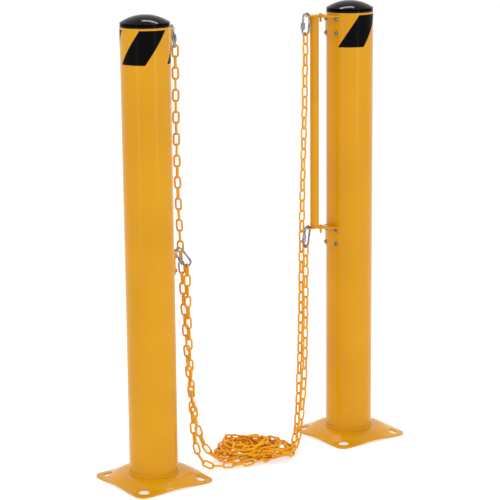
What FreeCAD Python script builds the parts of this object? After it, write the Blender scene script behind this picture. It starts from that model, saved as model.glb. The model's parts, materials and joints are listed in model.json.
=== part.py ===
import FreeCAD, Part
import math
import os

import Sketcher

# A pair of steel bollards joined by two plastic chains.  The left post carries two short eye
# tabs; the right post carries two long ones, and a lift-off hook bar drops into them on two pins.
# A quick link hangs in each chain end, and the spare chain lies in one heap between the posts.
# Millimetres.  +X runs from the left post to the right one, +Z is up, and the origin is on the
# floor midway between the posts.

SIZES = [
    ("post_spacing", 590.0, "centre to centre of the posts"),
    ("post_od", 114.3, "4 1/2 inch pipe"),
    ("post_wall", 3.4, "pipe wall"),
    ("post_top", 1066.8, "height of the pipe's top edge, 42 inch"),
    ("plate_side", 210.0, "square base plate"),
    ("plate_corner", 22.0, "rounding of its corners"),
    ("plate_thick", 4.0, "sheet the plate is pressed from"),
    ("plate_bore", 90.0, "hole under the post"),
    ("crown_rise", 18.0, "underside of the pressed crown above the floor"),
    ("crown_radius", 66.0, "flat crown that the post stands on"),
    ("flat_radius", 127.0, "where the plate lies flat again"),
    ("press_blank", 155.0, "radius of the sheet before it is cropped square"),
    ("slot_offset", 79.0, "anchor slot centre from the post axis, along X and along Y"),
    ("slot_width", 20.0, "across the slot, towards the post"),
    ("slot_length", 27.0, "along the slot, end to end"),
    ("weld_leg", 5.0, "fillet weld at the foot of the post"),
    ("cap_band", 5.0, "lower band of the cap"),
    ("cap_groove", 2.5, "height of the V groove over the band"),
    ("groove_depth", 2.0, "depth of the V groove"),
    ("cap_lip", 3.0, "upper band of the cap"),
    ("cap_shoulder", 0.8, "step in from the upper band to the dome"),
    ("cap_rise", 17.0, "dome above the upper band"),
    ("cap_wall", 3.0, "moulded wall"),
    ("cap_skirt", 8.0, "plug depth inside the pipe"),
    ("skirt_gap", 0.6, "plug to pipe bore, on the radius"),
    ("skirt_rib", 0.55, "crush ribs on the plug"),
    ("rib_height", 2.0, "height of a crush rib"),
    ("stripe_thick", 0.3, "reflective film"),
    ("stripe_low", 985.0, "lower edge of the stripes"),
    ("stripe_high", 1062.0, "upper edge of the stripes"),
    ("stripe_span", 65.0, "degrees round the post"),
    ("stripe_lean", 53.0, "degrees from the lower edge to the upper edge"),
    ("bracket_top", 1061.0, "top of the upper brackets"),
    ("bracket_drop", 517.5, "upper to lower bracket"),
    ("saddle_height", 52.0, "saddle plate"),
    ("saddle_width", 57.4, "saddle plate, straight across"),
    ("saddle_thick", 3.0, "saddle plate"),
    ("saddle_corner", 5.0, "rounding of its corners"),
    ("screw_drop", 9.0, "upper screws below the saddle's top edge"),
    ("screw_pitch", 34.0, "upper to lower screws"),
    ("screw_angle", 19.5, "degrees from the bracket's middle"),
    ("screw_thread", 6.0, "screw shank"),
    ("screw_head", 10.0, "dome head across"),
    ("screw_rise", 5.5, "dome head height"),
    ("rivet_nut_od", 9.0, "nut body inside the pipe wall"),
    ("rivet_nut_depth", 13.0, "from the pipe's outside inwards"),
    ("rivet_nut_bulge", 12.5, "crimped collar inside the pipe"),
    ("tab_thick", 3.5, "eye tabs"),
    ("tab_base", 27.0, "half width of an eye tab at the saddle"),
    ("chain_eye_reach", 71.5, "eye centre from the left post's axis"),
    ("chain_eye_tip", 8.0, "rounding of the short tab's tip"),
    ("eye_bore", 9.0, "hole for a quick link"),
    ("pin_eye_reach", 89.5, "eye centre from the right post's axis"),
    ("pin_eye_tip", 7.0, "rounding of the long tab's tip"),
    ("pin_eye_bore", 6.5, "hole for a drop pin"),
    ("seat_gap", 0.3, "between the bar's tabs and the eye tabs under them"),
    ("bar_offset", 19.0, "hook bar's tube beyond its pins"),
    ("bar_od", 21.3, "hook bar's tube"),
    ("bar_wall", 2.3, "wall of that tube"),
    ("bar_tab_length", 54.0, "end to end"),
    ("bar_tab_thick", 3.5, "tabs at the two ends of the hook bar"),
    ("link_hole_offset", 34.5, "quick link hole beyond the pins"),
    ("pin_od", 5.5, "drop pins"),
    ("pin_reach", 15.0, "pin below the bar's tab"),
    ("pin_head_od", 9.0, "pin head"),
    ("pin_head_rise", 3.0, "pin head"),
    ("wire", 5.0, "quick link wire"),
    ("bow_radius", 9.25, "centre line of a quick link's two bows"),
    ("leg_length", 32.5, "straight part of its legs"),
    ("mouth_low", 24.75, "lower edge of its mouth below the upper bow's centre"),
    ("mouth_high", 17.75, "upper edge of its mouth below the upper bow's centre"),
    ("nut_length", 16.5, "sleeve nut"),
    ("nut_flats", 9.0, "sleeve nut across its flats"),
    ("nut_bore", 5.2, "running clearance on the threaded leg"),
    ("bow_out", 8.75, "upper bow's centre beyond the eye centre"),
    ("bow_drop", 4.8, "upper bow's centre below the top of the tab it hangs in"),
    ("chain_section", 18.0, "diameter of the plain tube that stands for it"),
    ("heap_height", 46.0, "heap of spare chain"),
    ("heap_long", 98.0, "half length of the heap"),
    ("heap_short", 80.0, "half width of the heap"),
    ("heap_turn", -25.0, "degrees that its long side is turned from X"),
    ("heap_x", -8.0, "centre of the heap"),
    ("heap_y", -18.0, "centre of the heap"),
]

# Degrees round each post where each stripe starts at its lower edge, anticlockwise from +X.
STRIPE_STARTS = {"left": (171.5, 295.5, 55.5), "right": (202.0, 326.0)}

# How each quick link hangs, in degrees: the way it faces round its eye, from the bracket's own
# outward direction; how far its lower end swings out; how far it leans sideways; and how far it is
# turned about its own length, which is 180 where the mouth is in the inner leg.
LINK_HANG = {
    ("left", "upper"): (46.0, 3.0, -7.0, 0.0),
    ("left", "lower"): (-15.0, 36.0, 0.0, 180.0),
    ("right", "upper"): (0.0, 4.0, 0.0, 0.0),
    ("right", "lower"): (15.0, 10.0, 0.0, 0.0),
}

# Hand-laid routes of the chain where it hangs and lies, from each quick link into the heap.
# x is measured from that post's axis towards the other post.
ROUTES = {
    "upper_chain_left_run": ("left", [
        (83.7, 4.6, 1010.6), (85.0, 8.0, 905.0), (87.0, 11.0, 795.0), (90.5, 14.0, 675.0),
        (96.0, 16.0, 555.0), (101.5, 16.2, 440.0), (107.0, 15.0, 330.0), (112.0, 13.0, 232.0),
        (118.0, 11.0, 150.0), (125.0, 9.0, 88.0), (141.0, 4.0, 40.0), (170.0, -8.0, 14.0),
        (204.0, -26.0, 9.2)]),
    "lower_chain_left_run": ("left", [
        (98.4, -7.4, 492.5), (98.8, -8.6, 408.0), (101.2, -9.6, 318.0), (106.6, -10.5, 222.0),
        (114.8, -11.5, 140.0), (124.0, -13.5, 84.0), (138.0, -18.5, 42.0), (160.0, -30.0, 18.0),
        (188.5, -45.5, 10.0), (215.0, -56.0, 9.3)]),
    "upper_chain_right_run": ("right", [
        (135.3, 0.0, 1011.0), (135.8, 3.5, 905.0), (137.2, 7.0, 790.0), (138.9, 11.2, 670.0),
        (141.7, 14.0, 548.0), (145.7, 14.2, 425.0), (150.2, 12.4, 305.0), (154.4, 9.0, 198.0),
        (158.5, 5.0, 118.0), (164.0, 0.0, 66.0), (177.0, -11.0, 31.0), (200.5, -30.3, 12.2),
        (226.0, -48.0, 9.3)]),
    "lower_chain_right_run": ("right", [
        (139.2, -4.1, 493.4), (142.6, -8.5, 400.0), (146.0, -11.2, 300.0), (150.0, -13.8, 205.0),
        (154.5, -16.8, 128.0), (161.0, -21.5, 74.0), (173.0, -31.0, 38.0), (194.0, -48.6, 16.5),
        (221.0, -66.8, 9.5)]),
}
ARC_SHARE = 0.45

# The plate's pressed step is two equal bends, one hollow and one round.
PRESS_ANGLE = "2 * atan(sizes.crown_rise / (sizes.flat_radius - sizes.crown_radius))"
PRESS_BEND = "((sizes.flat_radius - sizes.crown_radius) / 2 / sin(%s))" % PRESS_ANGLE
PRESS_MIDDLE = "(sizes.flat_radius + sizes.crown_radius) / 2"

NUT_FOOT = "-(sizes.mouth_high + sizes.mouth_low + sizes.nut_length) / 2"

doc = FreeCAD.newDocument("ChainStanchions")
sheet = doc.addObject("Spreadsheet::Sheet", "sizes")
for row, (alias, value, note) in enumerate(SIZES, start=1):
    sheet.set("A%d" % row, note)
    sheet.set("B%d" % row, str(value))
    sheet.setAlias("B%d" % row, alias)
doc.recompute()

NODES = []


def number(expression):
    """Value of an expression on the sheet."""
    value = sheet.evalExpression(expression.replace("sizes.", ""))
    return float(getattr(value, "Value", value))


def size(alias):
    """Value of one cell of the sheet."""
    return float(sheet.get(alias))


def bind(thing, **expressions):
    """Bind properties to the sheet; a double underscore in a name stands for a dot."""
    for name, expression in expressions.items():
        thing.setExpression(name.replace("__", "."), expression)
    return thing


def add(kind, name, **expressions):
    """A document object of one kind with its sizes bound to the sheet."""
    return bind(doc.addObject(kind, name), **expressions)


def node(thing, name):
    """Label an object as a finished sub-part."""
    thing.Label = name
    NODES.append(thing)
    return thing


def post_side(side):
    """+1 for the right post and -1 for the left one."""
    return 1 if side == "right" else -1


def stand(thing, side, height="0", turned=True):
    """Move a sub-part built on the Z axis to its post, facing the other post."""
    if turned and side == "right":
        thing.Placement = FreeCAD.Placement(FreeCAD.Vector(), FreeCAD.Rotation(180, 0, 0))
    sign = "" if side == "right" else "-"
    bind(thing, Placement__Base__x=sign + "sizes.post_spacing / 2", Placement__Base__z=height)
    return thing


def origin_item(body, role):
    """One of a body's own origin planes or axes, by its role."""
    return [item for item in body.Origin.OriginFeatures if item.Role == role][0]


def place_point(sketch, geometry, point, across, up):
    """Bind one point of a sketch to two expressions, or to one where the other is None."""
    for kind, expression in (("DistanceX", across), ("DistanceY", up)):
        if expression is None:
            continue
        row = sketch.addConstraint(
            Sketcher.Constraint(kind, -1, 1, geometry, point, number(expression)))
        sketch.setExpression("Constraints[%d]" % row, expression)


def draw_outline(sketch, corners):
    """A closed outline bound to the sheet.

    A corner is (x, y), or (x, y, radius) where the edge that leaves it is an arc.  An arc with a
    plus sign bends to the left, and one with a minus sign to the right.
    """
    spots = [FreeCAD.Vector(number(c[0]), number(c[1]), 0) for c in corners]
    edges = []
    for i, corner in enumerate(corners):
        start, end = spots[i], spots[(i + 1) % len(spots)]
        if len(corner) == 2:
            edge = sketch.addGeometry(Part.LineSegment(start, end))
            edges.append((edge, 1, 2))
            continue
        bend = corner[2]
        left = not bend.startswith("-")
        radius = number(bend.lstrip("+-"))
        chord = end - start
        half = chord.Length / 2
        rise = math.sqrt(max(radius * radius - half * half, 0.0))
        side = FreeCAD.Vector(-chord.y, chord.x, 0).normalize() * (rise if left else -rise)
        centre = (start + end) * 0.5 + side
        first, last = (start, end) if left else (end, start)
        angles = [math.atan2(p.y - centre.y, p.x - centre.x) for p in (first, last)]
        if angles[1] <= angles[0]:
            angles[1] += 2 * math.pi
        circle = Part.Circle(centre, FreeCAD.Vector(0, 0, 1), radius)
        edge = sketch.addGeometry(Part.ArcOfCircle(circle, angles[0], angles[1]))
        edges.append((edge, 1, 2) if left else (edge, 2, 1))
        row = sketch.addConstraint(Sketcher.Constraint("Radius", edge, radius))
        sketch.setExpression("Constraints[%d]" % row, bend.lstrip("+-"))
    for i, (edge, start, end) in enumerate(edges):
        following = edges[(i + 1) % len(edges)]
        sketch.addConstraint(
            Sketcher.Constraint("Coincident", edge, end, following[0], following[1]))
        place_point(sketch, edge, start, corners[i][0], corners[i][1])


def draw_circle(sketch, across, up, diameter):
    """A circle bound to the sheet."""
    centre = FreeCAD.Vector(number(across), number(up), 0)
    circle = Part.Circle(centre, FreeCAD.Vector(0, 0, 1), number(diameter) / 2)
    edge = sketch.addGeometry(circle)
    place_point(sketch, edge, 3, across, up)
    row = sketch.addConstraint(Sketcher.Constraint("Radius", edge, number(diameter) / 2))
    sketch.setExpression("Constraints[%d]" % row, "(%s) / 2" % diameter)


def sketch_in(body, name, role):
    """An empty sketch on one of a body's origin planes."""
    sketch = body.newObject("Sketcher::SketchObject", name)
    sketch.AttachmentSupport = [(origin_item(body, role), "")]
    sketch.MapMode = "FlatFace"
    return sketch


def turned_body(name, corners):
    """A body turned about Z from an outline of (radius, height) corners."""
    body = doc.addObject("PartDesign::Body", name)
    sketch = sketch_in(body, name + "_profile", "XZ_Plane")
    draw_outline(sketch, corners)
    turn = body.newObject("PartDesign::Revolution", name + "_turn")
    turn.Profile = sketch
    turn.ReferenceAxis = (origin_item(body, "Z_Axis"), [""])
    turn.Angle = 360
    body.Tip = turn
    return body


def padded_body(name, outlines, circles, thickness, downwards=False):
    """A body padded along Z from outlines and round holes in the XY plane."""
    body = doc.addObject("PartDesign::Body", name)
    sketch = sketch_in(body, name + "_outline", "XY_Plane")
    for corners in outlines:
        draw_outline(sketch, corners)
    for circle in circles:
        draw_circle(sketch, *circle)
    pad = body.newObject("PartDesign::Pad", name + "_pad")
    pad.Profile = sketch
    pad.Reversed = downwards
    bind(pad, Length=thickness)
    body.Tip = pad
    return body


def slot_outline(across, up):
    """An anchor slot in one corner of the plate, its length square to the plate's diagonal."""
    # (along, out, arc) in half lengths of the straight run, half widths, and whether the edge that
    # leaves the corner is a quarter of a round end.
    run = "(sizes.slot_length - sizes.slot_width) / 2"
    half = "sizes.slot_width / 2"
    corners = []
    for way, out, bend in ((-1, -1, ()), (1, -1, ("+" + half,)), (1, 0, ("+" + half,)),
                           (1, 1, ()), (-1, 1, ("+" + half,)), (-1, 0, ("+" + half,))):
        along = "%d * (%s + %s)" % (way, run, half if out == 0 else "0")
        across_slot = "%d * %s" % (out, half)
        x = "%d * sizes.slot_offset + (%d * (%s) + %d * (%s)) / sqrt(2)" % (
            across, up, along, across, across_slot)
        y = "%d * sizes.slot_offset + (%d * (%s) + %d * (%s)) / sqrt(2)" % (
            up, -across, along, up, across_slot)
        corners.append((x, y) + bend)
    return corners


def base_plate(side):
    """Pressed plate: a domed disc cropped to a rounded square with four slots."""
    blank = turned_body(side + "_plate_press", [
        ("sizes.plate_bore / 2", "sizes.crown_rise"),
        ("sizes.crown_radius", "sizes.crown_rise", "-" + PRESS_BEND),
        (PRESS_MIDDLE, "sizes.crown_rise / 2", "+" + PRESS_BEND),
        ("sizes.flat_radius", "0"),
        ("sizes.press_blank", "0"),
        ("sizes.press_blank", "sizes.plate_thick"),
        ("sizes.flat_radius", "sizes.plate_thick", "-(%s - sizes.plate_thick)" % PRESS_BEND),
        (PRESS_MIDDLE + " + sizes.plate_thick * sin(%s)" % PRESS_ANGLE,
         "sizes.crown_rise / 2 + sizes.plate_thick * cos(%s)" % PRESS_ANGLE,
         "+(%s + sizes.plate_thick)" % PRESS_BEND),
        ("sizes.crown_radius", "sizes.crown_rise + sizes.plate_thick"),
        ("sizes.plate_bore / 2", "sizes.crown_rise + sizes.plate_thick"),
    ])
    flat = "(sizes.plate_side / 2 - sizes.plate_corner)"
    edge = "(sizes.plate_side / 2)"
    bend = "+sizes.plate_corner"
    square = [
        (edge, "-" + flat), (edge, flat, bend), (flat, edge), ("-" + flat, edge, bend),
        ("-" + edge, flat), ("-" + edge, "-" + flat, bend), ("-" + flat, "-" + edge),
        (flat, "-" + edge, bend),
    ]
    slots = [slot_outline(a, b) for a, b in ((1, 1), (-1, 1), (-1, -1), (1, -1))]
    crop = padded_body(
        side + "_plate_crop", [square] + slots, [], "2 * (sizes.crown_rise + sizes.plate_thick)")
    plate = doc.addObject("Part::Common", side + "_base_plate")
    plate.Base = blank
    plate.Tool = crop
    node(stand(plate, side), side + "_base_plate")


def post_tube(side):
    """Pipe standing on the plate's crown."""
    foot = "(sizes.crown_rise + sizes.plate_thick)"
    outer = add("Part::Cylinder", side + "_pipe_outside", Radius="sizes.post_od / 2",
                Height="sizes.post_top - " + foot)
    inner = add("Part::Cylinder", side + "_pipe_bore", Radius="sizes.post_od / 2 - sizes.post_wall",
                Height="sizes.post_top - " + foot)
    pipe = doc.addObject("Part::Cut", side + "_pipe")
    pipe.Base = outer
    pipe.Tool = inner
    drills = []
    for level in ("upper", "lower"):
        drills += nut_drills(side, level, foot)
    drilled = doc.addObject("Part::Cut", side + "_post_tube")
    holes = doc.addObject("Part::MultiFuse", side + "_pipe_drills")
    holes.Shapes = drills
    drilled.Base = pipe
    drilled.Tool = holes
    node(stand(drilled, side, foot), side + "_post_tube")


def nut_drills(side, level, foot):
    """Radial drills through the pipe wall for one bracket's four rivet nuts."""
    drills = []
    for turn, drop in screw_spots():
        name = "%s_%s_drill_%d" % (side, level, len(drills) + 1)
        drill = add("Part::Cylinder", name, Radius="sizes.rivet_nut_od / 2", Height="sizes.post_od")
        drill.Placement = FreeCAD.Placement(
            FreeCAD.Vector(), FreeCAD.Rotation(turn, 90, 0))
        bind(drill, Placement__Base__z="%s - %s - (%s)" % (bracket_height(level), foot, drop))
        drills.append(drill)
    return drills


def bracket_height(level):
    """Expression for the height of a bracket's top edge."""
    return "sizes.bracket_top" + (" - sizes.bracket_drop" if level == "lower" else "")


def screw_spots():
    """Turn from the bracket's middle and drop from its top edge, for its four screws."""
    turn = size("screw_angle")
    drops = ("sizes.screw_drop", "sizes.screw_drop + sizes.screw_pitch")
    return [(way * turn, drop) for drop in drops for way in (-1, 1)]


def base_weld(side):
    """Fillet weld round the foot of the post."""
    foot = "sizes.crown_rise + sizes.plate_thick"
    weld = turned_body(side + "_weld", [
        ("sizes.post_od / 2", foot),
        ("sizes.post_od / 2 + sizes.weld_leg", foot, "-sizes.weld_leg * 1.6"),
        ("sizes.post_od / 2", foot + " + sizes.weld_leg"),
    ])
    node(stand(weld, side), side + "_base_weld")


def cap(side):
    """Moulded cap: a grooved rim and a shallow dome on a ribbed plug."""
    rim = "sizes.post_od / 2"
    groove = "sizes.cap_band + sizes.cap_groove"
    lip = groove + " + sizes.cap_lip"
    dome = "(%s - sizes.cap_shoulder)" % rim
    sphere = "((%s * %s + sizes.cap_rise * sizes.cap_rise) / (2 * sizes.cap_rise))" % (dome, dome)
    plug = "(sizes.post_od / 2 - sizes.post_wall - sizes.skirt_gap)"
    rib = plug + " + sizes.skirt_rib"
    inside = "(%s - sizes.cap_wall)" % plug
    vault = "(sizes.cap_rise - sizes.cap_wall)"
    inner_sphere = "((%s * %s + %s * %s) / (2 * %s))" % (inside, inside, vault, vault, vault)
    corners = [
        ("0", lip + " + sizes.cap_rise - sizes.cap_wall", "-" + inner_sphere),
        (inside, lip),
        (inside, "-sizes.cap_skirt"),
        (plug, "-sizes.cap_skirt"),
    ]
    for share in (0.8, 0.4):
        low = "-sizes.cap_skirt * %.1f" % share
        corners += [(plug, low), (rib, low + " + sizes.rib_height / 2"),
                    (plug, low + " + sizes.rib_height")]
    corners += [
        (plug, "0"),
        (rim, "0"),
        (rim, "sizes.cap_band"),
        (rim + " - sizes.groove_depth", "sizes.cap_band + sizes.cap_groove / 2"),
        (rim, groove),
        (rim, lip),
        (dome, lip, "+" + sphere),
        ("0", lip + " + sizes.cap_rise"),
    ]
    node(stand(turned_body(side + "_cap_moulding", corners), side, "sizes.post_top"), side + "_cap")


def stripes(side):
    """Slanted bands of reflective film round the top of the post."""
    low, high = size("stripe_low"), size("stripe_high")
    inner = size("post_od") / 2
    outer = inner + size("stripe_thick")
    ring = Part.makeCylinder(outer, high - low, FreeCAD.Vector(0, 0, low)).cut(
        Part.makeCylinder(inner, high - low, FreeCAD.Vector(0, 0, low)))
    steps = 7
    bands = []
    for start in STRIPE_STARTS[side]:
        wedges = []
        for step in range(steps):
            height = low + (high - low) * step / (steps - 1)
            turn = start + size("stripe_lean") * step / (steps - 1)
            wedges.append(wedge_outline(turn, size("stripe_span"), outer * 1.25, height))
        bands.append(Part.makeLoft(wedges, True).common(ring).cut(saddle_window(side)))
    film = doc.addObject("Part::Feature", side + "_stripes")
    film.Shape = Part.makeCompound([solid for band in bands for solid in band.Solids])
    node(stand(film, side, turned=False), side + "_stripes")


def saddle_window(side):
    """The block of space where the upper saddle lies on the pipe, which the film leaves free."""
    slack = 0.5
    width = size("saddle_width") + 2 * slack
    height = size("saddle_height") + 2 * slack
    near = 0.0 if side == "left" else -size("post_od")
    corner = FreeCAD.Vector(near, -width / 2, size("bracket_top") + slack - height)
    return Part.makeBox(size("post_od"), width, height, corner)


def wedge_outline(turn, span, reach, height):
    """Closed three-sided outline of a wedge from the axis, at one height."""
    corners = [FreeCAD.Vector(0, 0, height)]
    for share in (0.0, 0.5, 1.0):
        angle = math.radians(turn + span * share)
        corners.append(FreeCAD.Vector(reach * math.cos(angle), reach * math.sin(angle), height))
    return Part.makePolygon(corners + corners[:1])


def saddle(side, level):
    """Curved plate that hugs the pipe, with four screw holes."""
    name = "%s_%s_saddle" % (side, level)
    inside = "sizes.post_od / 2"
    outer = add("Part::Cylinder", name + "_outside", Radius=inside + " + sizes.saddle_thick",
                Height="sizes.saddle_height")
    inner = add("Part::Cylinder", name + "_inside", Radius=inside, Height="sizes.saddle_height")
    ring = doc.addObject("Part::Cut", name + "_ring")
    ring.Base = outer
    ring.Tool = inner
    body = doc.addObject("PartDesign::Body", name + "_window")
    sketch = sketch_in(body, name + "_window_outline", "YZ_Plane")
    wide = "(sizes.saddle_width / 2)"
    bend = "sizes.saddle_corner"
    top = "(sizes.saddle_height)"
    draw_outline(sketch, [
        (wide, bend), (wide, "%s - %s" % (top, bend), "+" + bend),
        ("%s - %s" % (wide, bend), top), ("-(%s - %s)" % (wide, bend), top, "+" + bend),
        ("-" + wide, "%s - %s" % (top, bend)), ("-" + wide, bend, "+" + bend),
        ("-(%s - %s)" % (wide, bend), "0"), ("%s - %s" % (wide, bend), "0", "+" + bend),
    ])
    pad = body.newObject("PartDesign::Pad", name + "_window_pad")
    pad.Profile = sketch
    bind(pad, Length="sizes.post_od")
    body.Tip = pad
    blank = doc.addObject("Part::Common", name + "_blank")
    blank.Base = ring
    blank.Tool = body
    drills = []
    for turn, drop in screw_spots():
        drill = add("Part::Cylinder", "%s_hole_%d" % (name, len(drills) + 1),
                    Radius="sizes.screw_thread / 2 + 0.2", Height="sizes.post_od")
        drill.Placement = FreeCAD.Placement(FreeCAD.Vector(), FreeCAD.Rotation(turn, 90, 0))
        bind(drill, Placement__Base__z="sizes.saddle_height - (%s)" % drop)
        drills.append(drill)
    holes = doc.addObject("Part::MultiFuse", name + "_holes")
    holes.Shapes = drills
    plate = doc.addObject("Part::Cut", name)
    plate.Base = blank
    plate.Tool = holes
    node(stand(plate, side, bracket_height(level) + " - sizes.saddle_height"), name)


def eye_tab(side, level):
    """Flat three-sided tab with a round tip and a hole, standing out from the saddle."""
    name = "%s_%s_eye_tab" % (side, level)
    short = side == "left"
    reach = "sizes.chain_eye_reach" if short else "sizes.pin_eye_reach"
    tip = "sizes.chain_eye_tip" if short else "sizes.pin_eye_tip"
    bore = "sizes.eye_bore" if short else "sizes.pin_eye_bore"
    hug = "(sizes.post_od / 2 + sizes.saddle_thick)"
    root = "sqrt(%s * %s - sizes.tab_base * sizes.tab_base)" % (hug, hug)
    # The sloping sides touch the round tip where its radius is square to them.
    slope = "(atan(sizes.tab_base / ({r} - {root})) - asin({tip} / sqrt(({r} - {root}) ^ 2" \
            " + sizes.tab_base ^ 2)))".format(r=reach, root=root, tip=tip)
    touch_x = "%s + %s * sin(%s)" % (reach, tip, slope)
    touch_y = "%s * cos(%s)" % (tip, slope)
    tab = padded_body(name + "_plate", [[
        (root, "-sizes.tab_base"),
        (touch_x, "-(%s)" % touch_y, "+" + tip),
        (touch_x, touch_y),
        (root, "sizes.tab_base", "-" + hug),
    ]], [(reach, "0", bore)], "sizes.tab_thick", downwards=True)
    node(stand(tab, side, bracket_height(level)), name)


def ring_of_four(name, side, level, master, radius):
    """Four copies of a turned fastener, each pointing out of the post at its screw hole."""
    group = doc.addObject("Part::Feature", name)
    copies = []
    for turn, drop in screw_spots():
        copy = master.copy()
        swing = FreeCAD.Rotation(turn, 90, 0)
        out = swing.multVec(FreeCAD.Vector(0, 0, radius))
        copy.Placement = FreeCAD.Placement(out - FreeCAD.Vector(0, 0, number(drop)), swing)
        copies.append(copy)
    group.Shape = Part.makeCompound(copies)
    node(stand(group, side, bracket_height(level)), name)


def quick_link(side, level):
    """Oval of round wire with a mouth in one leg, and the sleeve nut that shuts it."""
    name = "%s_%s_quick_link" % (side, level)
    path = add("Sketcher::SketchObject", name + "_line")
    bow, leg = size("bow_radius"), size("leg_length")
    flat = FreeCAD.Vector(0, 0, 1)

    def straight(x, start, end):
        """Part of a leg between two heights."""
        return path.addGeometry(
            Part.LineSegment(FreeCAD.Vector(x, start, 0), FreeCAD.Vector(x, end, 0)))

    def half_turn(height, start):
        """One bow, from its starting angle."""
        circle = Part.Circle(FreeCAD.Vector(0, height, 0), flat, bow)
        return path.addGeometry(Part.ArcOfCircle(circle, start, start + math.pi))

    line = [
        straight(bow, -size("mouth_high"), 0),
        half_turn(0, 0),
        straight(-bow, 0, -leg),
        half_turn(-leg, math.pi),
        straight(bow, -leg, -size("mouth_low")),
    ]
    for i in range(4):
        path.addConstraint(Sketcher.Constraint("Coincident", line[i], 2, line[i + 1], 1))
    place_point(path, line[0], 1, "sizes.bow_radius", "-sizes.mouth_high")
    place_point(path, line[1], 3, "0", "0")
    place_point(path, line[1], 1, "sizes.bow_radius", "0")
    place_point(path, line[1], 2, None, "0")
    place_point(path, line[3], 3, "0", "-sizes.leg_length")
    place_point(path, line[3], 1, "-sizes.bow_radius", "-sizes.leg_length")
    place_point(path, line[3], 2, None, "-sizes.leg_length")
    place_point(path, line[4], 2, "sizes.bow_radius", "-sizes.mouth_low")
    path.Placement = FreeCAD.Placement(
        FreeCAD.Vector(), FreeCAD.Rotation(FreeCAD.Vector(1, 0, 0), 90))
    section = add("Part::Circle", name + "_wire", Radius="sizes.wire / 2")
    bind(section, Placement__Base__x="sizes.bow_radius", Placement__Base__z="-sizes.mouth_high")
    body = doc.addObject("Part::Sweep", name)
    body.Sections = [section]
    body.Spine = (path, [])
    body.Solid = True
    body.Frenet = False
    body.Placement = link_placement(side, level)
    node(body, name)

    nut_name = "%s_%s_sleeve_nut" % (side, level)
    hexagon = add("Part::Prism", nut_name + "_hexagon", Circumradius="sizes.nut_flats / sqrt(3)",
                  Height="sizes.nut_length")
    hexagon.Polygon = 6
    bore = add("Part::Cylinder", nut_name + "_bore", Radius="sizes.nut_bore / 2",
               Height="sizes.nut_length")
    for piece in (hexagon, bore):
        bind(piece, Placement__Base__x="sizes.bow_radius", Placement__Base__z=NUT_FOOT)
    nut = doc.addObject("Part::Cut", nut_name)
    nut.Base = hexagon
    nut.Tool = bore
    nut.Placement = link_placement(side, level)
    node(nut, nut_name)


def link_placement(side, level):
    """Where a quick link hangs: upper bow's centre at the origin, the leg with the mouth on +X."""
    facing, swing, lean, turned = LINK_HANG[(side, level)]
    sign = post_side(side)
    if side == "left":
        eye, top = size("chain_eye_reach"), number(bracket_height(level))
    else:
        eye = size("pin_eye_reach") + size("link_hole_offset")
        top = number(bracket_height(level)) + size("seat_gap") + size("bar_tab_thick")
    home = 180.0 if side == "right" else 0.0
    yaw = FreeCAD.Rotation(FreeCAD.Vector(0, 0, 1), home + facing)
    tip = FreeCAD.Rotation(FreeCAD.Vector(1, 0, 0), lean)
    tilt = FreeCAD.Rotation(FreeCAD.Vector(0, 1, 0), -swing)
    about = FreeCAD.Rotation(FreeCAD.Vector(0, 0, 1), turned)
    outward = yaw.multVec(FreeCAD.Vector(size("bow_out"), 0, 0))
    centre = FreeCAD.Vector(sign * (size("post_spacing") / 2 - eye), 0, top - size("bow_drop"))
    return FreeCAD.Placement(centre + outward, yaw * tip * tilt * about)


def hook_bar():
    """Tube with a tab at each end: a drop pin towards the post, a quick link hole beyond."""
    seat = "sizes.seat_gap"
    axis = "sizes.post_spacing / 2 - sizes.pin_eye_reach - sizes.bar_offset"
    low = "(sizes.bracket_top - sizes.bracket_drop + %s + sizes.bar_tab_thick)" % seat
    high = "(sizes.bracket_top + %s)" % seat
    outer = add("Part::Cylinder", "bar_outside", Radius="sizes.bar_od / 2",
                Height="%s - %s" % (high, low))
    inner = add("Part::Cylinder", "bar_bore", Radius="sizes.bar_od / 2 - sizes.bar_wall",
                Height="%s - %s" % (high, low))
    tube = doc.addObject("Part::Cut", "hook_bar_tube")
    tube.Base = outer
    tube.Tool = inner
    bind(tube, Placement__Base__x=axis, Placement__Base__z=low)
    node(tube, "hook_bar_tube")
    pin_axis = "sizes.post_spacing / 2 - sizes.pin_eye_reach"
    half = "sizes.bar_od / 2"
    far = "(sizes.bar_tab_length - sizes.bar_od)"
    for level, height in (("top", high), ("bottom", "(%s - sizes.bar_tab_thick)" % low)):
        tab = padded_body("hook_bar_%s_plate" % level, [[
            ("0", "-" + half, "+" + half), (half, "0", "+" + half), ("0", half),
            ("-" + far, half, "+" + half), ("-(%s + %s)" % (far, half), "0", "+" + half),
            ("-" + far, "-" + half),
        ]], [("0", "0", "sizes.pin_od"), ("-sizes.link_hole_offset", "0", "sizes.eye_bore")],
            "sizes.bar_tab_thick")
        bind(tab, Placement__Base__x=pin_axis, Placement__Base__z=height)
        node(tab, "hook_bar_%s_tab" % level)
        head = "sizes.bar_tab_thick"
        shank = "sizes.pin_od / 2"
        pin = turned_body("hook_bar_%s_peg" % level, [
            ("0", "-sizes.pin_reach"),
            (shank + " - 1", "-sizes.pin_reach"),
            (shank, "-sizes.pin_reach + 1.5"),
            (shank, head),
            ("sizes.pin_head_od / 2", head),
            ("sizes.pin_head_od / 2", head + " + sizes.pin_head_rise / 3"),
            ("sizes.pin_head_od / 4", head + " + sizes.pin_head_rise"),
            ("0", head + " + sizes.pin_head_rise"),
        ])
        bind(pin, Placement__Base__x=pin_axis, Placement__Base__z=height)
        node(pin, "hook_bar_%s_pin" % level)


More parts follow.
